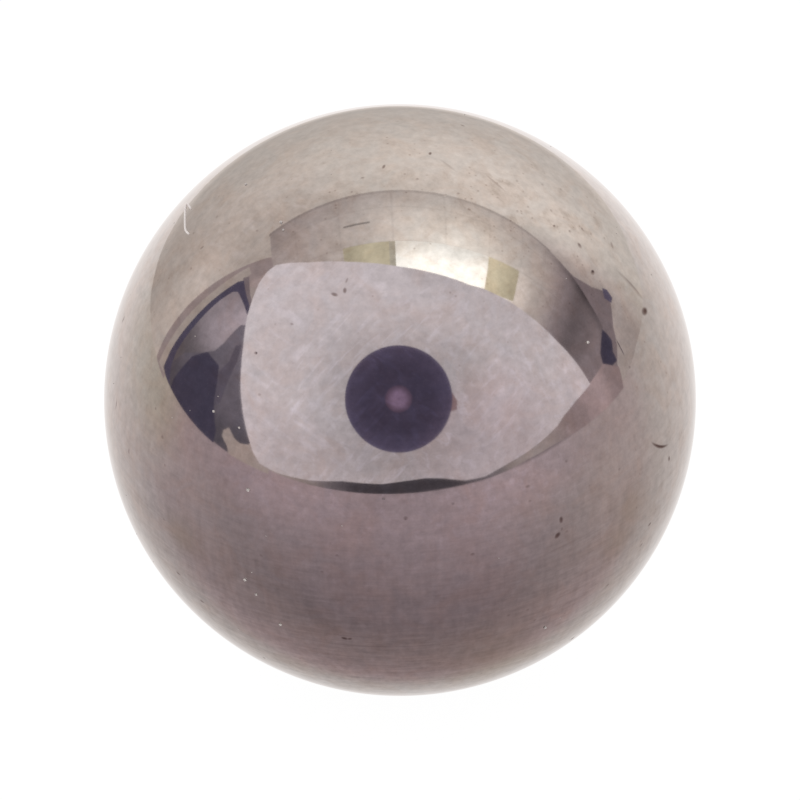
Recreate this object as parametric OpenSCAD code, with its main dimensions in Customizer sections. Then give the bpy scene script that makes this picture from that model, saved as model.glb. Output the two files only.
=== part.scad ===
// Loose steel ball of the kind used in bearings, valves and detents.
// It is cold headed from wire, ground and lapped into one solid, with no bore,
// flat or seam, so a single true sphere is the whole part. The origin is the
// ball's centre, the point that every gauge, race and seat locates it by.

/* [Ball] */
// Diameter across the ball, 3/4 inch
ball_d = 19.05; // [1:0.05:100]

/* [Hidden] */
// Facets round the ball where it is drawn as a mesh
ball_facets = 160;

module ball() {
    color([0.71, 0.68, 0.66])
        sphere(d = ball_d, $fn = ball_facets);
}

ball();
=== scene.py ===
import bmesh
import bpy
import numpy as np
from mathutils import Matrix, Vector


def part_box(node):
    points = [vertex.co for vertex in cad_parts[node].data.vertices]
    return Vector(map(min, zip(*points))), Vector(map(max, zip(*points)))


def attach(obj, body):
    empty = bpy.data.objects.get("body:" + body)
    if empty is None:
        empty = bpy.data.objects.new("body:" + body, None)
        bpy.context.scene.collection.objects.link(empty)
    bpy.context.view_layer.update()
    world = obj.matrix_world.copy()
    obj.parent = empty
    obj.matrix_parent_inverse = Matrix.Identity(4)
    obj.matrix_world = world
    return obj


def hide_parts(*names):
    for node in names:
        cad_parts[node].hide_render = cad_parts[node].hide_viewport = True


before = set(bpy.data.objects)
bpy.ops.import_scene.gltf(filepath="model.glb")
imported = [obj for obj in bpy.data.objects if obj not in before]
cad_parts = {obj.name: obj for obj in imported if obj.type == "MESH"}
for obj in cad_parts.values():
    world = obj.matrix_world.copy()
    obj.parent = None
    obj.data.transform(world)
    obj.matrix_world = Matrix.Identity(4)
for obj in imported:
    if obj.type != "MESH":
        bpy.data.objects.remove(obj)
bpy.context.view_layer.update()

# --------------------------------
# The ball: through-hardened chrome steel, cold headed from wire, ground and then lapped between
# plates until it mirrors. It is one solid, with no seam or bore. Use and damp have left it with
# corrosion pits, a nick, hairline scratches and a thin brownish film.
# --------------------------------
MM = 0.001
ball_low, ball_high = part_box("ball")
BALL_R = (ball_high.z - ball_low.z) / 2
FACE_CUTS = 80
REFINE_PASSES = 3
REFINE_REACH = 1.4
REFINE_MARGIN = 0.10 * MM

# Pits and nicks that stand out. Each row: longitude from the front towards +X and latitude, in
# degrees; half length, half width and depth in mm; the long axis, in degrees up from the line of
# latitude; bend, in mm off the axis for each mm along it squared; and how full of rust it is.
MARKS = [
    (70.3, 30.6, 0.17, 0.10, 0.012, -12, 0, 0.95),
    (63, 44, 0.09, 0.06, 0.008, 10, 0, 0.75),
    (67, 49, 0.09, 0.06, 0.006, 60, 0, 0.55),
    (74, 50, 0.06, 0.04, 0.005, 60, 0, 0.40),
    (66, 55, 0.05, 0.04, 0.005, 0, 0, 0.50),
    (78, 43, 0.12, 0.05, 0.005, 30, 0, 0.40),
    (69, 52, 0.05, 0.04, 0.004, 0, 0, 0.35),
    (42, 68, 0.045, 0.04, 0.006, 70, 0, 0.50),
    (78, 82, 0.07, 0.04, 0.007, 0, 0, 0.80),
    (130, 71, 0.07, 0.05, 0.006, 0, 0, 0.55),
    (-9, 84, 0.09, 0.04, 0.006, 80, 0, 0.65),
    (37, 73, 0.05, 0.04, 0.004, 0, 0, 0.30),
    (-30, 80, 0.06, 0.04, 0.004, 40, 0, 0.30),
    (28, 79, 0.05, 0.04, 0.004, 0, 0, 0.30),
    (-19, 54, 0.10, 0.05, 0.006, 170, 0, 0.65),
    (-16, 55, 0.08, 0.05, 0.006, 100, 0, 0.65),
    (-16, 57, 0.08, 0.03, 0.004, 80, 0, 0.35),
    (30, 6, 0.10, 0.055, 0.008, 90, 0, 0.75),
    (30, 4, 0.05, 0.03, 0.004, 70, 0, 0.35),
    (29, 3, 0.10, 0.07, 0.009, 40, 0, 0.80),
    (0, 13, 0.06, 0.06, 0.005, 0, 0, 0.40),
    (-13, -16, 0.09, 0.055, 0.008, 160, 0, 0.75),
    (-12, -16, 0.07, 0.045, 0.007, 30, 0, 0.65),
    (54, -8, 0.08, 0.05, 0.006, 0, 0, 0.60),
    (52, -12, 0.08, 0.05, 0.005, 20, 0, 0.40),
    (41, -35, 0.12, 0.07, 0.008, 80, 0, 0.80),
    (-51, -13, 0.09, 0.05, 0.006, 0, 0, 0.55),
    (-46, -18, 0.08, 0.06, 0.006, 0, 0, 0.60),
    (-36, -33, 0.10, 0.05, 0.005, 60, 0, 0.50),
    (-13, 5, 0.05, 0.04, 0.004, 0, 0, 0.30),
    (12, 4, 0.06, 0.05, 0.004, 0, 0, 0.35),
    (24, 15, 0.06, 0.04, 0.004, 0, 0, 0.30),
    (43, -17, 0.07, 0.05, 0.005, 0, 0, 0.40),
    (61, 3, 0.08, 0.05, 0.006, 90, 0, 0.85),
    (-65, 8, 0.09, 0.05, 0.005, 90, 0, 0.40),
    (-86, 25, 0.12, 0.06, 0.006, 90, 0, 0.55),
    (-74, 13, 0.16, 0.04, 0.005, 100, 1.5, 0.50),
    (-74, 50, 0.07, 0.04, 0.005, 80, 0, 0.40),
    (-71, 46, 0.05, 0.04, 0.004, 0, 0, 0.30),
    (-54, 17, 0.06, 0.05, 0.004, 0, 0, 0.30),
    (-36, 40, 0.05, 0.04, 0.005, 0, 0, 0.55),
    (-29, 47, 0.05, 0.03, 0.004, 0, 0, 0.40),
    (58, 7.6, 0.46, 0.045, 0.010, -35, 0.3, 1.00),
    (72, 36, 0.55, 0.075, 0.004, 98, 0, 0.30),
    (66, 78, 0.33, 0.040, 0.003, 66, 0, 0.20),
    (69, 68.5, 0.36, 0.040, 0.003, 68, 0, 0.30),
    (56, 30, 0.33, 0.035, 0.003, 90, 0, 0.15),
    (30, 0, 1.00, 0.045, 0.002, 5, -0.02, 0.10),
    (-4, -18, 3.20, 0.040, 0.002, 0, -0.02, 0.10),
    (-9, -15, 2.00, 0.035, 0.002, 0, -0.02, 0.06),
]
# Faint pits, all alike but for their places: the rest of such a row, then longitudes and latitudes.
FAINT_PIT = (0.05, 0.04, 0.003, 0, 0, 0.25)
FAINT_PITS = [
    (168, 77), (56, 70), (78, 65), (87, 56), (86, 48), (75, 48), (78, 45), (-52, 12), (-58, 21),
    (-52, 0), (-28, 2), (-16, 1), (9, 15), (24, 12), (33, 17), (45, 10), (31, 3), (23, -13),
    (25, -17), (19, -13), (-32, 33), (56, 26), (-4, 17), (81, -6), (60, 62), (52, 60), (45, 72),
    (66, 61), (72, 57), (84, 60), (-60, 60), (-82, 55),
]
HIDDEN_PITS = 70
PIT_RNG = np.random.default_rng(1905)


def direction(longitude, latitude):
    """Unit vectors: longitude turns from the front (-Y) towards +X, latitude lifts from level."""
    turn, lift = np.radians(longitude), np.radians(latitude)
    level = np.cos(lift)
    return np.stack([np.sin(turn) * level, -np.cos(turn) * level, np.sin(lift)], axis=-1)


def smooth(value, start, end):
    """Rises from 0 at start to 1 at end, level at both: 3t^2 - 2t^3."""
    t = np.clip((value - start) / (end - start), 0, 1)
    return t * t * (3 - 2 * t)


def cube_sphere_points(cuts):
    """Six square grids on a sphere of radius 1. A cube face's two parameters are angles from -45 to 45
    degrees, so its lines are evenly spaced and there is no pole: the point is (tan a, tan b, 1), scaled."""
    angle = np.linspace(-np.pi / 4, np.pi / 4, cuts + 1)
    a, b = np.meshgrid(np.tan(angle), np.tan(angle), indexing="ij")
    top = np.stack([a, b, np.ones_like(a)], axis=-1)
    top /= np.linalg.norm(top, axis=-1, keepdims=True)
    turns = [
        np.array([[1, 0, 0], [0, 1, 0], [0, 0, 1]]),
        np.array([[1, 0, 0], [0, -1, 0], [0, 0, -1]]),
        np.array([[0, 0, 1], [1, 0, 0], [0, 1, 0]]),
        np.array([[0, 0, -1], [-1, 0, 0], [0, 1, 0]]),
        np.array([[-1, 0, 0], [0, 0, 1], [0, 1, 0]]),
        np.array([[1, 0, 0], [0, 0, -1], [0, 1, 0]]),
    ]
    return np.stack([top @ turn.T for turn in turns])


def mark_axes(longitude, latitude, heading):
    """The outward direction at a mark, and its long and short axes in the surface."""
    turn = np.radians(longitude)
    out = direction(longitude, latitude)
    east = np.array([np.cos(turn), np.sin(turn), 0.0])
    north = np.cross(out, east)
    tilt = np.radians(heading)
    along = np.cos(tilt) * east + np.sin(tilt) * north
    return out, along, np.cross(out, along)


def on_mark(points, place, row):
    """Where points lie on a mark: s along its axis, t off it less the bend times s^2, and its axes."""
    out, along, across = mark_axes(row[0], row[1], row[5])
    s = (points - place) @ along
    t = (points - place) @ across - row[6] / MM * s ** 2
    return s, t, out, along, across


def small_marks():
    """The faint pits, and pits like the named ones scattered over the back and the underside. More are
    drawn than are kept, because those that fall on the front and the top are dropped."""
    rows = [(turn, lift, *FAINT_PIT) for turn, lift in FAINT_PITS]
    drawn = HIDDEN_PITS * 3
    turn = PIT_RNG.uniform(-180, 180, drawn)
    lift = np.degrees(np.arcsin(PIT_RNG.uniform(-1, 1, drawn)))
    hidden = direction(turn, lift) @ direction(0, 35) < 0
    size = PIT_RNG.uniform(0.04, 0.10, drawn)
    heading = PIT_RNG.uniform(0, 180, drawn)
    rust = PIT_RNG.uniform(0.2, 0.8, drawn)
    spread = zip(turn, lift, size, size * 0.7, size * 0.07, heading, 0 * size, rust)
    return rows + [row for row, kept in zip(spread, hidden) if kept][:HIDDEN_PITS]


marks = MARKS + small_marks()
mark_places = direction(*np.array([row[:2] for row in marks]).T) * BALL_R

grids = cube_sphere_points(FACE_CUTS) * BALL_R
cells = np.arange(grids[..., 0].size).reshape(grids.shape[:3])
quads = np.stack([cells[:, :-1, :-1], cells[:, 1:, :-1], cells[:, 1:, 1:], cells[:, :-1, 1:]], axis=-1)
ball_mesh = bpy.data.meshes.new("steel_ball")
ball_mesh.from_pydata(grids.reshape(-1, 3).tolist(), [], quads.reshape(-1, 4).tolist())
ball_work = bmesh.new()
ball_work.from_mesh(ball_mesh)
bmesh.ops.remove_doubles(ball_work, verts=ball_work.verts, dist=1e-8)

# A pit is a hundredth of the ball across, so only the faces round the marks are cut finer: those within
# REFINE_REACH of a mark's half sizes and a margin that halves each time.
for refining in range(REFINE_PASSES):
    middles = np.array([face.calc_center_median() for face in ball_work.faces])
    margin = REFINE_MARGIN / 2 ** refining
    near = np.zeros(len(middles), bool)
    for place, row in zip(mark_places, marks):
        s, t, out, along, across = on_mark(middles, place, row)
        half_length, half_width = np.array(row[2:4]) * MM * REFINE_REACH + margin
        near |= (abs(s) < half_length) & (abs(t) < half_width) & (middles @ out > 0)
    ball_work.faces.index_update()
    chosen = [edge for edge in ball_work.edges if any(near[face.index] for face in edge.link_faces)]
    bmesh.ops.subdivide_edges(ball_work, edges=chosen, cuts=1, use_grid_fill=True)
ball_work.to_mesh(ball_mesh)
ball_work.free()

# Each mark is a dish with depth d(1 - q)^2, where q = (s/length)^2 + (t/width)^2, s runs along the mark
# and t across it. Its slope, the change of depth with s and t, turns the normals that the mirror shows.
# Rust reaches past the dish, and the far side of the ball counts as well outside both.
RUST_REACH = 2.2
FAR_SIDE = 9
radial = np.zeros(len(ball_mesh.vertices) * 3)
ball_mesh.vertices.foreach_get("co", radial)
radial = radial.reshape(-1, 3)
radial /= np.linalg.norm(radial, axis=1, keepdims=True)
sunk = np.zeros(len(radial))
slope = np.zeros_like(radial)
rust = np.zeros(len(radial))
for place, row in zip(mark_places, marks):
    s, t, out, along, across = on_mark(radial * BALL_R, place, row)
    length, width, depth, bend = row[2] * MM, row[3] * MM, row[4] * MM, row[6] / MM
    q = (s / length) ** 2 + (t / width) ** 2
    q[radial @ out < 0] = FAR_SIDE
    dish = np.clip(1 - q, 0, 1)
    sunk += depth * dish ** 2
    fall = 4 * depth * dish
    slope += (fall * (s / length ** 2 - 2 * bend * s * t / width ** 2))[:, None] * along
    slope += (fall * t / width ** 2)[:, None] * across
    rust = np.maximum(rust, row[7] * smooth(-q, -RUST_REACH, 0))
points = radial * (BALL_R - sunk)[:, None]
normals = radial - slope
normals /= np.linalg.norm(normals, axis=1, keepdims=True)
ball_mesh.vertices.foreach_set("co", points.ravel())
ball_mesh.attributes.new("rust", "FLOAT", "POINT").data.foreach_set("value", rust)


def soft_spots(spots):
    """Patches with no edge, each of them strength times e^-(away/reach)^2, and the strongest counts."""
    total = np.zeros(len(radial))
    for turn, lift, reach, strength in spots:
        away = np.linalg.norm(radial - direction(turn, lift), axis=1) * BALL_R / MM
        total = np.maximum(total, strength * np.exp(-((away / reach) ** 2)))
    return total


# Longitude, latitude, reach in mm and strength of the yellow oil stains, of the parts with most tarnish,
# and of those that fingers and a cloth have rubbed.
OIL_STAINS = [(-47, -1, 0.7, 0.4), (47, 0, 0.7, 0.3), (44, -5, 0.7, 0.3), (18, -27, 1.6, 0.4)]
TARNISH = [
    (66, 58, 4.0, 1.0), (40, 72, 3.5, 0.7), (-30, 75, 4.0, 0.6), (-90, 45, 3.0, 0.5), (60, 5, 3.0, 0.6),
    (40, -25, 2.5, 0.4), (-22, -38, 2.5, 0.8), (22, -38, 2.5, 0.8), (-45, -25, 2.5, 0.4),
    (160, -20, 5.0, 0.7),
]
HANDLED = [
    (-5, 33, 4.6, 1.0), (20, 30, 4.0, 0.8), (-60, 62, 3.0, 0.5), (150, 40, 5.0, 0.8), (-20, -8, 4.0, 0.35),
]
for label, spots in (("stain", OIL_STAINS), ("tarnish", TARNISH), ("handled", HANDLED)):
    ball_mesh.attributes.new(label, "FLOAT", "POINT").data.foreach_set("value", soft_spots(spots))
ball_mesh.shade_smooth()
ball_mesh.normals_split_custom_set_from_vertices(normals.tolist())
ball = bpy.data.objects.new("steel_ball", ball_mesh)
bpy.context.scene.collection.objects.link(ball)


def add_node(tree, kind, inputs=None, **settings):
    """Adds a node with its settings. An input that is a socket, or a node with its result in the first
    socket, is linked. Any other is set as a value."""
    node = tree.nodes.new("ShaderNode" + kind)
    for name, value in settings.items():
        setattr(node, name, value)
    for key, value in (inputs or {}).items():
        if isinstance(value, bpy.types.Node):
            value = value.outputs[0]
        if isinstance(value, bpy.types.NodeSocket):
            tree.links.new(value, node.inputs[key])
        else:
            node.inputs[key].default_value = value
    return node


def new_material(name):
    """An empty node material and its tree."""
    material = bpy.data.materials.new(name)
    material.use_nodes = True
    material.node_tree.nodes.clear()
    return material, material.node_tree


def linear(code):
    """An sRGB hex colour as linear red, green, blue."""
    part = np.array([int(code[i:i + 2], 16) for i in (1, 3, 5)]) / 255
    return np.where(part <= 0.04045, part / 12.92, ((part + 0.055) / 1.055) ** 2.4)


def rgba(code):
    """The same, with full alpha."""
    return (*linear(code), 1.0)


# Lapped bearing steel: a near mirror with a warm grey tint. Fine lighter and darker lines run round the ball,
# strongest low down, and a cloth left wipe strokes. A thin film of old oil and rust clouds it in patches from
# a tenth of a millimetre to a few across, and the tarnished parts are smudged brown and peppered with specks
# of rust. A pattern's scale is how many of its lumps go to the mm. A Map Range node's inputs 1 to 4 are where
# its value runs from and to, and what these become. A Mix node's inputs 6 and 7 are colours, and its output 2
# their mix.
WIPE_TURN = tuple(np.radians((0, 15, -45)))
RUB_TURN = tuple(np.radians((0, -35, 30)))
lapped_steel, tree = new_material("lapped_bearing_steel")
place = add_node(tree, "TexCoord").outputs["Object"]
mm = add_node(tree, "Mapping", {"Vector": place, "Scale": (1 / MM, 1 / MM, 1 / MM)})
patches = add_node(tree, "TexNoise", {"Vector": mm, "Scale": 0.3})
clouds = add_node(
    tree, "TexNoise", {"Vector": mm, "Scale": 0.9, "Detail": 5.0, "Roughness": 0.6, "Distortion": 0.8},
)
mottle = add_node(tree, "TexNoise", {"Vector": mm, "Scale": 3.2, "Detail": 4.0, "Roughness": 0.68})
mottle_level = add_node(tree, "MapRange", {"Value": mottle, 1: 0.3, 2: 0.7, 3: 0.88, 4: 1.09})
cloud_level = add_node(tree, "MapRange", {"Value": clouds, 1: 0.3, 2: 0.7, 3: -0.07, 4: 0.07})
level = add_node(tree, "Math", {0: mottle_level, 1: cloud_level}, operation="ADD")

# Fine lines round the ball, broad ones, and a faint upright grain across them, all strongest low down.
# Each row: how many to the mm along X, Y and Z, detail, roughness, and how much it lightens and darkens.
LINES = [((0.8, 0.8, 8), 3.0, 0.6, 0.12), ((0.3, 0.3, 2.5), 2.0, 0.5, 0.02), ((5, 5, 0.6), 2.0, 0.5, 0.08)]
height = add_node(tree, "SeparateXYZ", {0: mm}).outputs["Z"]
line_depth = add_node(tree, "MapRange", {"Value": height, 1: 3, 2: -7, 3: 0.25, 4: 1.15})
for spacing, detail, roughness, swing in LINES:
    drawn_out = add_node(tree, "Mapping", {"Vector": mm, "Scale": spacing})
    lines = {"Vector": drawn_out, "Scale": 1.0, "Detail": detail, "Roughness": roughness}
    lined = add_node(tree, "TexNoise", lines)
    line_level = add_node(tree, "MapRange", {"Value": lined, 1: 0.3, 2: 0.7, 3: -swing, 4: swing})
    level = add_node(tree, "Math", {0: line_level, 1: line_depth, 2: level}, operation="MULTIPLY_ADD")

# Strokes run one way in some patches and another way in the rest. Each row: their turn, their size in mm,
# and where in the patches they begin and reach full strength.
STROKES = [(WIPE_TURN, (1.6, 0.24, 0.24), 0.40, 0.56), (RUB_TURN, (1.3, 0.22, 0.22), 0.58, 0.44)]
all_strokes = 0.0
for turn, size, begin, full in STROKES:
    lie = add_node(tree, "Mapping", {"Vector": mm, "Rotation": turn, "Scale": size}, vector_type="TEXTURE")
    streaks = add_node(tree, "TexNoise", {"Vector": lie, "Scale": 1.0, "Detail": 3.0, "Distortion": 0.4})
    stroke = add_node(tree, "MapRange", {"Value": streaks, 1: 0.52, 2: 0.74, 3: 0, 4: 0.8})
    share = add_node(tree, "MapRange", {"Value": patches, 1: begin, 2: full, 3: 0, 4: 1})
    all_strokes = add_node(tree, "Math", {0: stroke, 1: share, 2: all_strokes}, operation="MULTIPLY_ADD")
handled = add_node(tree, "Attribute", attribute_name="handled").outputs["Fac"]
strokes = add_node(tree, "Math", {0: all_strokes, 1: handled}, operation="MULTIPLY")

# Tarnish gathers in the clouds. Specks of rust lie a sixth of a millimetre apart, and more of them show
# where there is more tarnish. Brown smudges in it run the way that the cloth wiped.
clouded = add_node(tree, "MapRange", {"Value": clouds, 1: 0.46, 2: 0.60, 3: 0.1, 4: 1})
tarnished = add_node(tree, "Attribute", attribute_name="tarnish").outputs["Fac"]
tarnish = add_node(tree, "Math", {0: tarnished, 1: clouded}, operation="MULTIPLY")
peppered = add_node(tree, "TexVoronoi", {"Vector": mm, "Scale": 6.0})
lot = add_node(tree, "SeparateColor", {0: peppered.outputs["Color"]})
chance = add_node(tree, "Math", {0: tarnish, 1: 0.45, 2: lot}, operation="MULTIPLY_ADD")
chosen = add_node(tree, "MapRange", {"Value": chance, 1: 0.985, 2: 1.07, 3: 0, 4: 1})
from_middle = peppered.outputs["Distance"]
speck = add_node(tree, "MapRange", {"Value": from_middle, 1: 0.32, 2: 0.08, 3: 0, 4: 0.36})
specks = add_node(tree, "Math", {0: speck, 1: chosen}, operation="MULTIPLY")
smudge_lie = {"Vector": mm, "Rotation": WIPE_TURN, "Scale": (0.9, 0.55, 0.55)}
smeared = add_node(tree, "Mapping", smudge_lie, vector_type="TEXTURE")
smudge = add_node(
    tree, "TexNoise", {"Vector": smeared, "Scale": 1.0, "Detail": 5.0, "Roughness": 0.7, "Distortion": 0.5},
)
smudge_cover = add_node(tree, "MapRange", {"Value": smudge, 1: 0.46, 2: 0.72, 3: 0, 4: 0.65})
smudges = add_node(tree, "Math", {0: smudge_cover, 1: tarnish}, operation="MULTIPLY")

# The metal's colour, and over it one after another what covers it: the film, the smudges, the strokes
# that bare it again, the light and dark of all the lines and clouds, the stains, the specks and the rust.
film = add_node(tree, "MapRange", {"Value": clouds, 1: 0.40, 2: 0.66, 3: 0, 4: 0.8})
stain = add_node(tree, "Attribute", attribute_name="stain").outputs["Fac"]
pit_rust = add_node(tree, "Attribute", attribute_name="rust").outputs["Fac"]
colour = rgba("#CECAC7")
for cover, tint, how in (
    (film, rgba("#C4BAB3"), "MIX"),
    (smudges, rgba("#958A81"), "MIX"),
    (strokes, rgba("#E2DFE1"), "MIX"),
    (1.0, level, "MULTIPLY"),
    (stain, rgba("#B5AB8E"), "MIX"),
    (specks, rgba("#6E5A50"), "MIX"),
    (pit_rust, rgba("#604842"), "MIX"),
):
    layers = {"Factor": cover, 6: colour, 7: tint}
    colour = add_node(tree, "Mix", layers, data_type="RGBA", blend_type=how).outputs[2]
shine = add_node(tree, "MapRange", {"Value": patches, 1: 0.3, 2: 0.7, 3: 0.035, 4: 0.055})
roughness = add_node(tree, "Math", {0: pit_rust, 1: 0.25, 2: shine}, operation="MULTIPLY_ADD")
steel = add_node(tree, "BsdfPrincipled", {"Base Color": colour, "Metallic": 1.0, "Roughness": roughness})
add_node(tree, "OutputMaterial", {"Surface": steel})
ball_mesh.materials.append(lapped_steel)
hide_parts("ball")
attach(ball, "root")

# --------------------------------
# Lint: one white cotton fibre, stuck to the film high on the left. It is a thin round strand that
# droops down the ball, with a short end of the same strand folded back at its top.
# --------------------------------
LINT_R = 0.035 * MM
LINT_SIDES = 8
LINT_STEPS = 40
LINT_TAPER = 0.03
# Longitude, latitude and the height of the strand's middle above the steel in mm, one place after another.
LINT_MAIN = [
    (-103, 46.5, 0.05), (-100, 46.7, 0.055), (-96, 47.2, 0.05), (-91, 47.5, 0.04), (-88, 47.6, 0.037),
    (-86, 47.9, 0.037), (-84, 48.4, 0.04),
]
LINT_END = [(-103, 46.5, 0.05), (-101, 47.3, 0.055), (-99, 48, 0.05), (-97, 48.6, 0.04)]


def strand(places):
    """A tube along places. Between them its middle follows a Catmull-Rom curve, a cubic in t that passes
    through b and c and heads along the chords of their neighbours a and d. Rings of points lie round the
    middle, and the tube narrows to a point at either end as the square root of the way from the end."""
    knots = np.array([direction(turn, lift) * (BALL_R + up * MM) for turn, lift, up in places])
    knots = np.concatenate([2 * knots[:1] - knots[1:2], knots, 2 * knots[-1:] - knots[-2:-1]])
    whole = np.linspace(0, len(places) - 1, LINT_STEPS)
    start = np.minimum(whole.astype(int), len(places) - 2)
    t = (whole - start)[:, None]
    a, b, c, d = (knots[start + i] for i in range(4))
    path = b + 0.5 * (c - a) * t
    path += (a - 2.5 * b + 2 * c - 0.5 * d) * t ** 2
    path += 0.5 * (3 * b - a - 3 * c + d) * t ** 3
    ahead = np.gradient(path, axis=0)
    ahead /= np.linalg.norm(ahead, axis=1, keepdims=True)
    out = path / np.linalg.norm(path, axis=1, keepdims=True)
    side = np.cross(ahead, out)
    side /= np.linalg.norm(side, axis=1, keepdims=True)
    up = np.cross(side, ahead)
    along = np.linspace(0, 1, LINT_STEPS)
    radius = LINT_R * np.sqrt(np.clip(np.minimum(along, 1 - along) / LINT_TAPER, 0, 1))[:, None, None]
    turn = np.linspace(0, 2 * np.pi, LINT_SIDES, endpoint=False)[None, :, None]
    return path[:, None] + radius * (np.cos(turn) * side[:, None] + np.sin(turn) * up[:, None])


def surface(name, points, close_rows=False, shades=None):
    """A grid of points (rows, columns, xyz) as a mesh object of quads. Closed rows join their end to
    their start, and points in one place are merged. Shades are linear colours at the points."""
    rows, columns = points.shape[:2]
    index = np.arange(rows * columns).reshape(rows, columns)
    if close_rows:
        index = np.concatenate([index, index[:, :1]], axis=1)
    quads = np.stack([index[:-1, :-1], index[:-1, 1:], index[1:, 1:], index[1:, :-1]], axis=-1)
    mesh = bpy.data.meshes.new(name)
    mesh.from_pydata(points.reshape(-1, 3).tolist(), [], quads.reshape(-1, 4).tolist())
    if shades is not None:
        light = mesh.attributes.new("light", "FLOAT_COLOR", "POINT")
        colours = np.concatenate([shades.reshape(-1, 3), np.ones((rows * columns, 1))], axis=1)
        light.data.foreach_set("color", colours.astype(np.float32).ravel())
    work = bmesh.new()
    work.from_mesh(mesh)
    bmesh.ops.remove_doubles(work, verts=work.verts, dist=1e-7)
    work.to_mesh(mesh)
    work.free()
    mesh.shade_smooth()
    piece = bpy.data.objects.new(name, mesh)
    bpy.context.scene.collection.objects.link(piece)
    return piece


def face_out(piece):
    """Turns a closed mesh's faces outwards."""
    work = bmesh.new()
    work.from_mesh(piece.data)
    bmesh.ops.recalc_face_normals(work, faces=work.faces)
    work.to_mesh(piece.data)
    work.free()


# Cotton lint, carded and unspun: white, matt and uneven, with nine paler and darker parts to the mm.
cotton, tree = new_material("cotton_lint")
place = add_node(tree, "TexCoord").outputs["Object"]
uneven = add_node(tree, "TexNoise", {"Vector": place, "Scale": 9 / MM, "Detail": 3.0})
cotton_shades = {"Factor": uneven, 6: rgba("#D5CAC7"), 7: rgba("#EDE6E3")}
cotton_shade = add_node(tree, "Mix", cotton_shades, data_type="RGBA").outputs[2]
fuzz = add_node(tree, "BsdfPrincipled", {"Base Color": cotton_shade, "Roughness": 0.9})
add_node(tree, "OutputMaterial", {"Surface": fuzz})
for name, places in (("lint_strand", LINT_MAIN), ("lint_folded_end", LINT_END)):
    lint = surface(name, strand(places), close_rows=True)
    face_out(lint)
    # Mirrored, the strand would look twice as thick, so the mirror leaves it out.
    lint.visible_glossy = False
    lint.data.materials.append(cotton)
    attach(lint, "root")

# --------------------------------
# Dust: grey-white household grains up to a tenth of a millimetre, held by the film. Each is a small
# lump, bedded a little way into it.
# --------------------------------
# Longitude, latitude and half width in mm of the grains that stand out.
GRAINS = [
    (-91, 62, 0.04), (-54, 64, 0.05), (-42, 27, 0.04), (-35, 26, 0.035), (-31, 15, 0.055), (-32, -5, 0.05),
    (-30, -8, 0.04), (-26, -15, 0.05), (28, -21, 0.05), (48, 35, 0.05), (-50, 63, 0.035),
]
MORE_GRAINS = 40
GRAIN_FLATNESS = 0.6
GRAIN_BEDDING = 0.35
DUST_RNG = np.random.default_rng(84)


def grains():
    """Lumps with radius r(1 + 0.25 sin(2u + p) cos(3v + p)), u round and v down, then flattened. The
    middle of each stands off the steel by a share of its half width."""
    turn = np.concatenate([[row[0] for row in GRAINS], DUST_RNG.uniform(-180, 180, MORE_GRAINS)])
    more_lift = np.degrees(np.arcsin(DUST_RNG.uniform(-0.6, 1, MORE_GRAINS)))
    lift = np.concatenate([[row[1] for row in GRAINS], more_lift])
    size = np.concatenate([[row[2] for row in GRAINS], DUST_RNG.uniform(0.010, 0.018, MORE_GRAINS)]) * MM
    phase = DUST_RNG.uniform(0, 2 * np.pi, len(size))[:, None, None]
    v, u = np.meshgrid(np.linspace(0, np.pi, 7), np.linspace(0, 2 * np.pi, 10, endpoint=False), indexing="ij")
    reach = size[:, None, None] * (1 + 0.25 * np.sin(2 * u + phase) * np.cos(3 * v + phase))
    out = direction(turn, lift)
    east = np.stack([np.cos(np.radians(turn)), np.sin(np.radians(turn)), 0 * turn], axis=-1)
    north = np.cross(out, east)
    lump = reach[..., None] * (
        (np.sin(v) * np.cos(u))[None, ..., None] * east[:, None, None]
        + (np.sin(v) * np.sin(u))[None, ..., None] * north[:, None, None]
        + (GRAIN_FLATNESS * np.cos(v))[None, ..., None] * out[:, None, None]
    )
    return lump + (out * (BALL_R + GRAIN_BEDDING * size[:, None]))[:, None, None]


lumps = grains()
cells = np.arange(lumps[..., 0].size).reshape(lumps.shape[:3])
cells = np.concatenate([cells, cells[:, :, :1]], axis=2)
quads = np.stack([cells[:, :-1, :-1], cells[:, 1:, :-1], cells[:, 1:, 1:], cells[:, :-1, 1:]], axis=-1)
dust_mesh = bpy.data.meshes.new("dust")
dust_mesh.from_pydata(lumps.reshape(-1, 3).tolist(), [], quads.reshape(-1, 4).tolist())
dust_work = bmesh.new()
dust_work.from_mesh(dust_mesh)
bmesh.ops.remove_doubles(dust_work, verts=dust_work.verts, dist=1e-7)
bmesh.ops.recalc_face_normals(dust_work, faces=dust_work.faces)
dust_work.to_mesh(dust_mesh)
dust_work.free()
dust_mesh.shade_smooth()
dust = bpy.data.objects.new("dust", dust_mesh)
bpy.context.scene.collection.objects.link(dust)

# Household dust, settled from the air: matt, between grey and beige. The shade changes every 0.4 mm, so
# that each grain has its own.
household_dust, tree = new_material("household_dust")
place = add_node(tree, "TexCoord").outputs["Object"]
mixed_grains = add_node(tree, "TexNoise", {"Vector": place, "Scale": 2.5 / MM, "Detail": 3.0})
dust_shades = {"Factor": mixed_grains, 6: rgba("#B4ABA8"), 7: rgba("#D2CAC6")}
dust_shade = add_node(tree, "Mix", dust_shades, data_type="RGBA").outputs[2]
powder = add_node(tree, "BsdfPrincipled", {"Base Color": dust_shade, "Roughness": 0.95})
add_node(tree, "OutputMaterial", {"Surface": powder})
dust_mesh.materials.append(household_dust)
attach(dust, "root")

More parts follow.
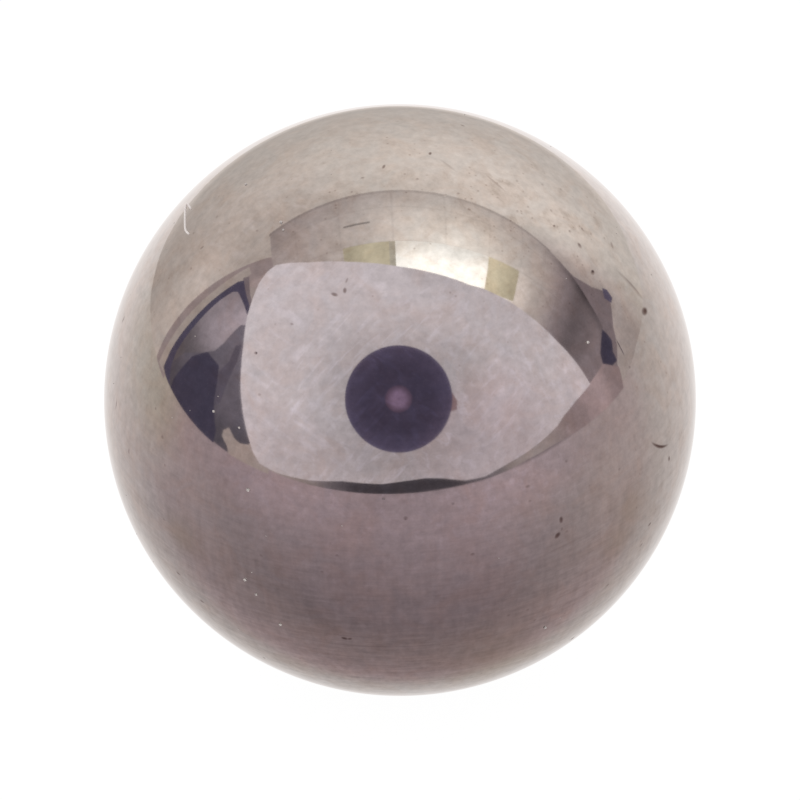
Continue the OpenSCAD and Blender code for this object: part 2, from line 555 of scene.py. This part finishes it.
# --------------------------------
# The floor: a plain white sheet that the ball stands on, lit from below and above, so that the
# shadow under the ball all but fades. The mirror sees the room and not this sheet.
# --------------------------------
FLOOR_HALF = 4.0
floor_line = np.linspace(-FLOOR_HALF, FLOOR_HALF, 9)
floor_x, floor_y = np.meshgrid(floor_line, floor_line, indexing="xy")
floor_points = np.stack([floor_x, floor_y, np.full_like(floor_x, ball_low.z)], axis=-1)
floor = surface("floor", floor_points)
floor.visible_glossy = False

# White plastic sheet on a light table: it glows from below, and a twentieth of it takes the light above.
white_sheet, tree = new_material("lit_white_sheet")
matt = add_node(tree, "BsdfDiffuse", {"Color": rgba("#FFFFFF")})
glow = add_node(tree, "Emission", {"Color": rgba("#FFFFFF"), "Strength": 1.03})
sheet_mix = add_node(tree, "MixShader", {0: 0.95, 1: matt, 2: glow})
add_node(tree, "OutputMaterial", {"Surface": sheet_mix})
white_sheet.cycles.emission_sampling = "NONE"
floor.data.materials.append(white_sheet)

# --------------------------------
# The room that the ball mirrors: a white table under it and a pale ceiling over it. Only the mirror
# sees the room and what stands in it, and plain white light falls on all the rest. Places are
# directions from the ball in degrees, and distances, in metres, only put one thing before another.
# --------------------------------
ROOM_R = 0.60


def tinted(level, tints):
    """Light of a level, in one hex tint, or in several mixed by their weights."""
    if isinstance(tints, str):
        tints = [(tints, 1)]
    weights = [np.broadcast_to(weight, level.shape)[..., None] for code, weight in tints]
    mixed = sum(linear(row[0]) * weight for row, weight in zip(tints, weights))
    return level[..., None] * mixed / sum(weights)


# Matt painted, papered and card surfaces that glow: each point gives off its stored light and painted shade.
painted_studio_light, tree = new_material("studio_light")
stored = add_node(tree, "Attribute", attribute_name="light").outputs["Color"]
glow = add_node(tree, "Emission", {"Color": stored, "Strength": 1.0})
add_node(tree, "OutputMaterial", {"Surface": glow})
painted_studio_light.cycles.emission_sampling = "NONE"


def mirrored_only(piece):
    """Marks a studio surface as seen by mirror reflections alone."""
    piece.data.materials.append(painted_studio_light)
    piece.visible_camera = False
    piece.visible_diffuse = False
    piece.visible_transmission = False
    piece.visible_volume_scatter = False
    piece.visible_shadow = False


def on_ceiling(azimuth, elevation):
    """Where directions meet a level ceiling: how far to the right of the ball and how far towards the
    front, both in heights of the ceiling above the ball."""
    reach = 1 / np.tan(np.radians(np.clip(elevation, 5, 90)))
    return np.sin(np.radians(azimuth)) * reach, np.cos(np.radians(azimuth)) * reach


def table_light(azimuth, elevation):
    """A white table, dim under the ball and in front of it and bright behind. Rise is 0 straight down
    and 1 on the level; behind, front and side are how far a direction points each way."""
    turn, lift = np.radians(azimuth), np.radians(elevation)
    behind = -np.cos(lift) * np.cos(turn)
    front = np.clip(-behind, 0, 1)
    rise = 1 + np.sin(lift)
    side = np.cos(lift) * np.sin(turn)
    level = 0.335 + 0.58 * np.clip(behind, 0, 1) ** 1.35
    level += 0.035 * smooth(rise, 0, 0.09) + 0.12 * smooth(rise, 0.1, 0.7)
    level += 0.04 * side - 0.10 * smooth(front, 0, 0.45) - 0.04 * smooth(side, 0.3, 1) * smooth(rise, 0.5, 1)
    level += 0.055 * smooth(behind, -0.05, 0.25) * smooth(-rise, -0.4, -0.05)
    beyond = smooth(direction(azimuth, elevation) @ direction(180, -35), 0.80, 1.0)
    level += 0.09 * beyond * smooth(-rise, -0.75, -0.3) + 0.03 * smooth(rise, 0.55, 0.78)
    corners = smooth(rise, 0.6, 0.95) * np.sin(2 * turn) ** 2
    level += corners * (0.10 * smooth(front, 0, 0.3) - 0.07 * smooth(behind, 0, 0.3))
    return tinted(level, [
        ("#FDE4EF", smooth(-behind, 0.1, 0.9)),
        ("#FFE5E9", (0.15 + smooth(-abs(behind + 0.1), -0.45, 0)) * (1 - 0.7 * smooth(abs(side), 0.4, 1.0))),
        ("#FFF0EC", 0.6 * smooth(side, 0.3, 1.0) * (1 - 0.6 * smooth(rise, 0.6, 0.9))),
        ("#FFEEF3", 0.6 * smooth(-side, 0.3, 1.0) * (1 - smooth(rise, 0.5, 0.9))),
        ("#FFF2E0", 0.5 * smooth(-side, 0.5, 1.0) * smooth(rise, 0.5, 0.9) * smooth(behind, -0.1, 0.3)),
        ("#FFF9F5", smooth(behind, 0.05, 0.75)),
        ("#FFFFFF", 0.7 * beyond),
    ])


def ceiling_light(azimuth, elevation):
    """A ceiling that fades with distance from its two bright tiles, to the right above all."""
    across, ahead = on_ceiling(azimuth, elevation)
    away = np.hypot(across - 0.4, ahead)
    near = np.exp(-((away / 0.4) ** 1.15))
    level = 0.55 + 1.10 * near - 0.31 * smooth(across, 1.0, 2.2) - 0.06 * smooth(-across, 0.45, 0.85)
    level += 0.07 * smooth(across, 2.8, 3.8) - 0.10 * smooth(-ahead, 0.42, 0.60) * smooth(across, 0.9, 1.5)
    level += 0.15 * np.exp(-((across - 0.05) ** 2 + (ahead + 0.28) ** 2) / 0.15 ** 2)
    level -= 0.08 * smooth(-ahead, 0.35, 0.6) * smooth(-across, 0.1, 0.3)
    level += 0.24 * smooth(-np.hypot(across - 0.88, ahead - 0.08), -0.32, -0.08)
    level -= 0.05 * smooth(across, 1.2, 1.7) * (1 - smooth(across, 2.2, 2.8))
    tints = [("#FFEDEC", 1 - near), ("#FFF9F0", 6 * near), ("#FFE6F4", 1.5 * smooth(across, 1.2, 2.0))]
    return tinted(level, tints)


def room_light(azimuth, elevation):
    """The table below the horizon, the ceiling above it."""
    below = (elevation <= 0)[..., None]
    return np.where(below, table_light(azimuth, elevation), ceiling_light(azimuth, elevation))


elevations, azimuths = np.meshgrid(np.linspace(-90, 90, 181), np.linspace(-180, 180, 361), indexing="ij")
room_points = direction(azimuths, elevations) * ROOM_R
mirrored_only(surface("room", room_points, shades=room_light(azimuths, elevations)))

# --------------------------------
# The backdrop: a wide sheet of pale paper hung behind the ball, which curves on to the table at its
# foot. Its two ends reach round past the ball's sides.
# --------------------------------


def panel(name, distance, outline, light, middle=None, rings=12, cuts=12):
    """A panel seen from the ball. Its corners are directions, a straight edge joins each to the next, and
    the surface runs from the middle out to the edge in rings, on a sphere of the given distance."""
    corners = direction(*np.array(outline, float).T)
    inner = corners.mean(axis=0) if middle is None else direction(*middle)
    inner = inner / np.linalg.norm(inner)
    step = np.linspace(0, 1, cuts, endpoint=False)[None, :, None]
    edge = corners[:, None] * (1 - step) + np.roll(corners, -1, axis=0)[:, None] * step
    edge = edge.reshape(1, -1, 3)
    edge /= np.linalg.norm(edge, axis=-1, keepdims=True)
    out = np.linspace(0, 1, rings)[:, None, None]
    spread = inner * (1 - out) + edge * out
    spread /= np.linalg.norm(spread, axis=-1, keepdims=True)
    azimuth = np.degrees(np.arctan2(spread[..., 0], -spread[..., 1]))
    elevation = np.degrees(np.arcsin(np.clip(spread[..., 2], -1, 1)))
    mirrored_only(surface(name, spread * distance, close_rows=True, shades=light(azimuth, elevation)))


def backdrop_light(azimuth, elevation):
    """Pale paper, lighter upwards and to the right. It is light along its foot in the middle, where it
    curves on to the table, and again at its left end. Left is in degrees from straight behind."""
    left = (azimuth % 360) - 180
    level = 0.60 + 0.10 * smooth(elevation, -12, 0) + 0.26 * smooth(elevation, -2, 36)
    level *= 1 - 0.0040 * left
    level += 0.16 * smooth(left, 46, 62) * (1 - smooth(elevation, 20, 36))
    level -= 0.22 * smooth(-left, 48, 62) + 0.10 * smooth(-left, 62, 67)
    foot = -17 + 0.3 * abs(left)
    level += 0.22 * smooth(foot - elevation, -6, 0) * (1 - smooth(abs(left), 22, 44))
    level -= 0.09 * smooth(abs(left), 10, 50) * smooth(elevation, 22, 40) + 0.08 * smooth(elevation, 44, 58)
    level -= 0.14 * smooth(-left, 40, 60) * smooth(elevation, 28, 40) + 0.10 * smooth(-left, 60, 72)
    level -= 0.07 * smooth(-left, 62, 72) * smooth(elevation, 18, 28)
    level -= 0.10 * smooth(-left, 58, 66) * smooth(elevation, 8, 20) * (1 - smooth(elevation, 36, 46))
    left_tint, right_tint = smooth(left, 10, 60), smooth(-left, 55, 72)
    return tinted(level, [("#FFF6EF", 1), ("#FFEDE6", left_tint), ("#FFE9E9", right_tint)])


BACKDROP = [
    (-113, -1), (-113, 39), (-112, 48), (-125, 54), (180, 68), (130, 54), (118, 39), (112, 33), (109, 27),
    (110, 20), (112, 16), (116, 9), (114, 8), (109, 9), (104, 10), (101, 7), (96, 4), (95, -1), (110, -1),
    (125, -3), (140, -4), (150, -7), (160, -10), (170, -14), (180, -17), (-170, -14), (-160, -11),
    (-150, -8), (-140, -5), (-125, -2),
]
panel("backdrop", 0.58, BACKDROP, backdrop_light, middle=(180, 20), rings=60)

# --------------------------------
# The ceiling, laid in square tiles with thin joints. Two tiles are bright lamps, and one on either side
# of them has a spent lamp behind yellowed plastic. The tiled part ends in a straight edge behind the
# ball and another to its left.
# --------------------------------
# In heights of the ceiling above the ball: a tile's side, half a joint's width, and the joint over it.
TILE = 0.305
JOINT_HALF = 0.006
JOINT_OVERHEAD = 0.005


def overhead(points):
    """Directions of points on a level ceiling. Each is given as how far it lies to the right of the ball
    and how far towards the front, both in heights of the ceiling above the ball."""
    across, ahead = np.array(points, float).T
    elevation = np.degrees(np.arctan2(1, np.hypot(across, ahead)))
    return list(zip(np.degrees(np.arctan2(across, ahead)), elevation))


CEILING = [(-0.83, -0.61), (1.3, -0.61), (2.6, -0.61), (4.0, -0.70), (4.0, 1.0), (0, 0.6), (-0.83, 0.1)]
LAMP_EDGES = (-0.13, 0.25)
ceiling_middle = overhead([(0.6, -0.1)])[0]
panel("ceiling", 0.56, overhead(CEILING), ceiling_light, middle=ceiling_middle, rings=60, cuts=30)


def ceiling_rectangle(name, distance, across, ahead, light):
    """A rectangle on the ceiling, between two values across and two ahead."""
    corners = [(across[0], ahead[0]), (across[1], ahead[0]), (across[1], ahead[1]), (across[0], ahead[1])]
    panel(name, distance, overhead(corners), light)


def shaded_ceiling(factor):
    """The ceiling's own light, dimmed."""
    return lambda azimuth, elevation: ceiling_light(azimuth, elevation) * factor


for count in range(8):
    middle = JOINT_OVERHEAD + (count - 2) * TILE
    joint = (middle - JOINT_HALF, middle + JOINT_HALF)
    ceiling_rectangle(f"tile_joint_{count}", 0.555, joint, (-0.60, 0.4), shaded_ceiling(0.92))
for count in range(2):
    middle = LAMP_EDGES[0] - count * TILE
    joint = (middle - JOINT_HALF, middle + JOINT_HALF)
    ceiling_rectangle(f"tile_row_{count}", 0.555, (-0.82, 3.0), joint, shaded_ceiling(0.91))
# Along the edge behind the ball runs a strip of painted shade, where the ceiling meets the wall.
ceiling_rectangle("ceiling_edge_shadow", 0.555, (-0.84, 1.3), (-0.625, -0.595), shaded_ceiling(0.85))
ceiling_rectangle("vent_slot", 0.554, (-0.275, -0.12), (-0.315, -0.298), shaded_ceiling(0.50))


def lamp_light(azimuth, elevation):
    """Two frosted tiles lit from behind, brightest towards the front and away from their left end."""
    across, ahead = on_ceiling(azimuth, elevation)
    level = 1.08 + 0.24 * smooth(across, -0.05, 0.2) + 0.60 * smooth(ahead, -0.13, 0.05)
    return tinted(level, "#FFFDF7")


def yellowed_light(azimuth, elevation):
    """Tiles whose lamps are nearly spent. The right one fades away from the bright pair, and the left one
    brightens towards them before it dips at their frame."""
    across, ahead = on_ceiling(azimuth, elevation)
    left = 0.62 + 0.20 * smooth(across, -0.28, -0.12) - 0.06 * smooth(across, -0.12, -0.03)
    left += 0.03 * smooth(ahead, 0, 0.15)
    right = 1.02 - 0.36 * smooth(across, 0.62, 0.92)
    return tinted(np.where(across < 0.2, left, right), "#FFF4D6")


def even(level, code):
    """Plain light of one level and tint."""
    return lambda azimuth, elevation: tinted(np.full_like(azimuth, level), code)


ceiling_rectangle("bright_tiles", 0.54, (0.015, 0.615), LAMP_EDGES, lamp_light)
ceiling_rectangle("yellowed_tile_left", 0.53, (-0.29, -0.02), LAMP_EDGES, yellowed_light)
ceiling_rectangle("lamp_frame", 0.53, (-0.02, 0.015), LAMP_EDGES, even(0.64, "#FFF7E4"))
ceiling_rectangle("yellowed_tile_right", 0.53, (0.615, 0.91), (-0.13, 0.17), yellowed_light)

# --------------------------------
# The end wall past the card's right edge: a painted wall, dim with painted shade, and seen in the gap between
# the card and the backdrop, with a dark slot in it and another at its top corner.
# --------------------------------


def right_wall_light(azimuth, elevation):
    """A wall in painted shade: dim, and a little lighter beside the card."""
    level = 0.31 - 0.03 * smooth(azimuth, 92, 100)
    return tinted(level, "#FFE8F0")


RIGHT_WALL = [(76, 0), (76, 40), (120, 40), (118, 30), (118, 8), (104, 8), (93, -1)]
panel("right_wall", 0.59, RIGHT_WALL, right_wall_light, middle=(98, 20), rings=20)
DARK_PANEL = "#DBCFFF"
RIGHT_SLOT = [
    (95, 13), (99, 14), (99.5, 11.5), (99.5, 9), (97, 7.4), (96.7, 4.6), (91.5, 6), (90, 9), (91.5, 11.5),
]
RIGHT_CORNER = [(110, 14.8), (113, 15.7), (114, 13.7), (113, 11.4), (111, 11.7)]
panel("right_wall_slot", 0.55, RIGHT_SLOT, even(0.105, DARK_PANEL))
panel("right_wall_corner", 0.55, RIGHT_CORNER, even(0.20, DARK_PANEL))

# --------------------------------
# The doorway beside the card's left edge: a wall with a pale strip and a dark frame round a dim opening. A
# pane of glass, a dim band and plain dark shades stand in it, and a pale panel leans at its foot.
# --------------------------------


def door_light(azimuth, elevation):
    """The dim opening, a little lighter high up."""
    level = 0.14 + 0.07 * smooth(elevation, 5, 12) + 0.05 * smooth(elevation, 18, 30)
    return tinted(level, "#F5E8FF")


def pane_light(azimuth, elevation):
    """A pane of glass, lightest near its head and to the right."""
    level = 0.17 + 0.23 * smooth(elevation, 12, 25)
    level -= 0.03 * smooth(-azimuth, 98, 103) * smooth(elevation, 28, 36)
    level += 0.08 * smooth(azimuth, -103, -96) * smooth(elevation, 14, 26)
    level += 0.12 * smooth(azimuth, -96, -90) * smooth(elevation, 25, 33)
    return tinted(level, "#FFEFFC")


def left_wall_light(azimuth, elevation):
    """The wall round the doorway, lighter past its head."""
    level = 0.42 + 0.13 * smooth(azimuth, -106, -102) * smooth(elevation, 38, 42)
    return tinted(level, "#FFE9EA")


LEFT_WALL = [
    (-113, -1), (-113.8, 5), (-113.9, 16), (-113.6, 28), (-113.2, 47), (-104, 60), (-90, 50), (-104, 38),
    (-105, -1),
]
DOOR_STRIP = [
    (-110.6, -0.5), (-110.6, 5), (-110.5, 16), (-110.6, 28), (-112, 40), (-108, 41), (-105, 33), (-105, 18),
    (-106, 0),
]
DOOR_HEAD = [(-108, 38), (-107, 40.3), (-98, 40.2), (-92, 40.2), (-92, 38)]
DOOR_FRAME = [
    (-104, 0.2), (-107.2, 0.8), (-107.7, 6), (-107.3, 17), (-107.4, 29), (-107.5, 36), (-106.5, 38.3),
    (-98.8, 38.8), (-93, 39.1), (-80, 37), (-60, 20), (-50, 8), (-54, -1),
]
DOOR_OPENING = [
    (-101, 0.2), (-104, 4), (-104.8, 8), (-104.7, 18), (-104.9, 29), (-104.4, 34), (-103, 35.8), (-101, 36.4),
    (-95, 37.3), (-80, 36), (-60, 20), (-50, 8), (-54, -1),
]
DOOR_PANE = [
    (-104, 5), (-104.8, 8), (-104.7, 18), (-104.9, 29), (-104.4, 34), (-103, 35.8), (-101, 36.4),
    (-95, 37.3), (-84, 37), (-88, 35), (-88.4, 30.5), (-88.4, 25.5), (-89.6, 21.5), (-94.5, 16.5),
    (-100.8, 11),
]
DOOR_BAND = [(-81, 31), (-78, 26), (-77, 20), (-76, 12), (-79, 8), (-82, 12), (-83, 18), (-81, 24), (-83, 29)]
DOOR_SHADE = [
    (-100, 0.2), (-100, 3), (-97, 13), (-92, 19), (-84, 20), (-81, 16), (-78.5, 10), (-74, 3), (-74, -1),
]
DOOR_FOOT = [
    (-67, -1), (-68, 1), (-71, 3), (-71, 5), (-69, 7), (-66, 5), (-63, 4.5), (-60, 5.5), (-58, 7), (-50, 4),
    (-50, -1),
]
panel("left_wall", 0.565, LEFT_WALL, left_wall_light, middle=(-108, 42), rings=20)
panel("door_strip", 0.555, DOOR_STRIP, even(0.53, "#FFEFE9"), middle=(-107, 20))
panel("door_head", 0.553, DOOR_HEAD, even(0.27, "#FFE9F4"))
panel("door_frame", 0.55, DOOR_FRAME, even(0.155, DARK_PANEL), middle=(-85, 15), rings=20)
panel("door_opening", 0.545, DOOR_OPENING, door_light, middle=(-80, 15), rings=30)
panel("door_pane", 0.54, DOOR_PANE, pane_light, middle=(-97, 26), rings=20)
panel("door_band", 0.538, DOOR_BAND, even(0.175, "#EEE0FF"))
panel("door_shade", 0.535, DOOR_SHADE, even(0.115, DARK_PANEL), middle=(-88, 9))
panel("door_foot", 0.533, DOOR_FOOT, even(0.50, "#FFECE8"), middle=(-59, 1))

# --------------------------------
# The card: a sheet of white card propped up in front of the ball with its corners cut round, to light
# the ball from the front. The lens looks through a hole torn in it. Under it a gap shows between its
# lower edge and the table, dark in the middle.
# --------------------------------


def angle_between(azimuth, elevation, to_azimuth, to_elevation):
    """The angle in degrees from directions to one direction."""
    cosine = direction(azimuth, elevation) @ direction(to_azimuth, to_elevation)
    return np.degrees(np.arccos(np.clip(cosine, -1, 1)))


def card_light(azimuth, elevation):
    """White card, lightest far from the lens and dimmer low down, where the table shades it."""
    off = angle_between(azimuth, elevation, 0, 36)
    level = 0.62 + 0.20 * smooth(off, 20, 42) + 0.06 * smooth(off, 45, 75)
    level -= 0.14 * (1 - smooth(elevation, 8, 28)) * (1 - smooth(abs(azimuth), 42, 75))
    level += 0.05 * smooth(-azimuth, 20, 80) - 0.05 * smooth(azimuth, 10, 50)
    level += 0.09 * smooth(elevation, 45, 60) * smooth(-abs(azimuth - 10), -60, -20)
    level -= 0.06 * smooth(elevation, 66, 76) * smooth(azimuth, -30, 10)
    low_right = smooth(azimuth, -10, 30) * (1 - smooth(azimuth, 40, 65)) * (1 - smooth(elevation, 20, 44))
    tints = [("#FFF6FD", 1), ("#FFF0F7", 1 - smooth(elevation, 8, 28)), ("#FFE9F4", low_right)]
    return tinted(level, tints)


CARD = [
    (80.5, 9), (80, 17), (79, 27), (78.5, 37), (78, 47), (76, 58), (73, 63), (71.5, 68), (68, 74), (25, 86),
    (-85, 81), (-94, 75), (-102, 62), (-106, 54), (-107, 50), (-105, 47), (-101, 44), (-89, 37), (-80, 31),
    (-75, 26), (-70, 20), (-65, 14), (-61, 9), (-57, 4), (-54, 1.5), (-47, 0.6), (-40, 1), (-34, 1.5),
    (-28, 2.5), (-22, 3.5), (-8, 3.5), (0, 4.5), (8, 5), (14, 4), (22, 1.5), (29, 1), (39, 3), (47, 4),
    (56, 5.5), (61, 6.5), (65, 8), (72, 9),
]
CARD_TEAR = [(20, 35), (22, 35), (24, 34.5), (25, 31), (24, 28), (20, 28)]
panel("card", 0.46, CARD, card_light, middle=(0, 36), rings=60)
# The torn edge is the card's own edge in shade, painted darker than the card.
panel("card_torn_edge_shaded", 0.45, CARD_TEAR, even(0.33, "#FFD9E2"))

# How light the gap under the card is: azimuth and level.
UNDER_CARD_LEVELS = [
    (-54, 0.52), (-42, 0.42), (-32, 0.30), (-18, 0.09), (18, 0.09), (26, 0.17), (35, 0.26), (45, 0.46),
    (58, 0.42), (64, 0.38), (70, 0.36), (76, 0.45), (80, 0.52), (84, 0.58), (88, 0.42), (93, 0.36),
]


def under_card_light(azimuth, elevation):
    """The gap between card and table: dark in the middle, lighter towards either end."""
    level = np.interp(azimuth, *np.array(UNDER_CARD_LEVELS).T)
    tints = [("#FFEDEC", 1 - smooth(azimuth, 50, 70)), ("#FFE2E5", smooth(azimuth, 50, 70))]
    return tinted(level, tints + [(DARK_PANEL, 1.0 - 3 * np.clip(level, 0, 0.33))])


UNDER_CARD = [
    (-57, 2), (-54, 1), (-46, 0.2), (-33, -0.2), (-15, -0.4), (5, -0.3), (23, 0), (31, 0), (38, 0.5),
    (46, 1.3), (57, 1.5), (66, 1), (75, 0), (86, -1.3), (94, -2.3), (96, 3), (93, 6), (90, 9), (88, 7),
    (84, 6), (79, 9), (74, 14), (0, 12), (-50, 8),
]
panel("under_card", 0.50, UNDER_CARD, under_card_light, middle=(15, 5), rings=20)

# --------------------------------
# The lens, in the hole in the card: a round black barrel with a coated front glass set back in its
# middle. Its middle is a direction, and its halves are angles to either side.
# --------------------------------
LENS = (-0.6, 35.4)
LENS_HALF = 20.0
GLASS_HALF = 5.0
RING_CORNERS = 96


def ring_outline(centre, half):
    """A circle of directions round a centre: cos half times the centre, and sin half times a turn."""
    out, east, north = mark_axes(centre[0], centre[1], 0)
    turn = np.linspace(0, 2 * np.pi, RING_CORNERS, endpoint=False)[:, None]
    aside = np.cos(turn) * east + np.sin(turn) * north
    spread = np.cos(np.radians(half)) * out + np.sin(np.radians(half)) * aside
    azimuth = np.degrees(np.arctan2(spread[:, 0], -spread[:, 1]))
    return list(zip(azimuth, np.degrees(np.arcsin(spread[:, 2]))))


def lens_light(azimuth, elevation):
    """The lens front: black, with a faint sheen round its rim."""
    off = angle_between(azimuth, elevation, *LENS)
    level = 0.115 + 0.035 * smooth(off, 12, 18) + 0.04 * smooth(off, 18, 19.7)
    level -= 0.006 * np.exp(-((off - 10) / 1.2) ** 2)
    return tinted(level, "#DAC9FF")


def glass_light(azimuth, elevation):
    """The front glass, coated pink, with a small dark dot in the middle."""
    off = angle_between(azimuth, elevation, *LENS)
    level = 0.14 + 0.19 * smooth(-off, -5.2, -1.8) - 0.07 * smooth(-off, -0.9, -0.3)
    return tinted(level, "#F2CCFA")


panel("lens_barrel", 0.44, ring_outline(LENS, LENS_HALF), lens_light, middle=LENS, rings=40, cuts=1)
panel("lens_glass", 0.42, ring_outline(LENS, GLASS_HALF), glass_light, middle=LENS, rings=20, cuts=1)

# --------------------------------
# The light: plain, soft and white from all round, for the floor, the lint and the dust. The ball
# mirrors the room instead.
# --------------------------------
world = bpy.data.worlds.new("soft_light")
world.use_nodes = True
world.node_tree.nodes["Background"].inputs["Color"].default_value = rgba("#FFFFFF")
world.node_tree.nodes["Background"].inputs["Strength"].default_value = 1.0
bpy.context.scene.world = world

# --------------------------------
# The camera: a macro lens close above the ball, looking down at it, held a little off level.
# --------------------------------
CAMERA_LIFT = 35.0
CAMERA_ROLL = -2.75
CAMERA_REACH = 135 * MM
# Half the frame's width over the ball's radius, as the lens sees them.
FRAME_TO_BALL = 1.3514

towards = direction(0, CAMERA_LIFT)
camera_lift, roll = np.radians(CAMERA_LIFT), np.radians(CAMERA_ROLL)
level_up = np.array([0, np.sin(camera_lift), np.cos(camera_lift)])
level_right = np.array([1.0, 0, 0])
camera_up = np.cos(roll) * level_up - np.sin(roll) * level_right
camera_right = np.cos(roll) * level_right + np.sin(roll) * level_up
camera_data = bpy.data.cameras.new("camera")
camera_data.sensor_width = 36.0
half_view = np.tan(np.arcsin(BALL_R / CAMERA_REACH)) * FRAME_TO_BALL
camera_data.lens = camera_data.sensor_width / 2 / half_view
camera_data.clip_start = 0.01
camera = bpy.data.objects.new("camera", camera_data)
matrix = np.eye(4)
matrix[:3, 0], matrix[:3, 1], matrix[:3, 2] = camera_right, camera_up, towards
matrix[:3, 3] = towards * CAMERA_REACH
camera.matrix_world = Matrix(matrix.tolist())
bpy.context.scene.collection.objects.link(camera)
bpy.context.scene.camera = camera

# Colours come out as they are given, and the edges of what the ball mirrors come out smooth.
bpy.context.scene.view_settings.view_transform = "Standard"
bpy.context.scene.cycles.use_denoising = True
